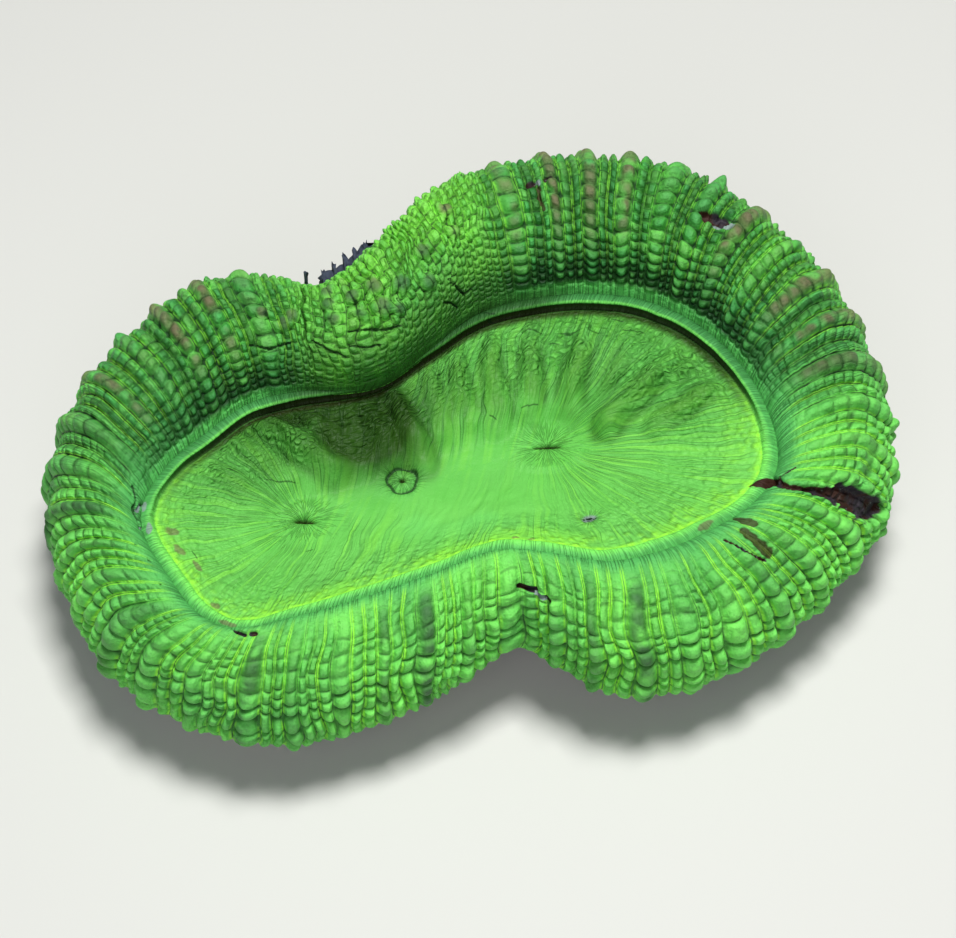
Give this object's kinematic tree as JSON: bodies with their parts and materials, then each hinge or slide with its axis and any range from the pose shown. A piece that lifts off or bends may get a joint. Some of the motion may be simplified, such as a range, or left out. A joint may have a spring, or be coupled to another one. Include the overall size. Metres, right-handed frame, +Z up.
{
  "type": "brain coral",
  "caption": "Open brain coral with its green flesh spread: a low figure-of-eight cushion whose beaded, ridged mantle rings a sunken oral disc, cut off flat at its foot.",
  "frame": {"origin": "middle of the box around the coral, at the height of the flat cut that it stands on", "axes": "+Z up from the flat foot, +X along the long axis from the smaller lobe to the larger one, +Y towards the side with the tall mantle"},
  "size_m": [0.1538, 0.1033, 0.0509],
  "materials": {
    "flesh": "satin",
    "skeleton": "matte"
  },
  "bodies": {
    "root": {"brain_coral": "flesh"}
  },
  "joints": []
}
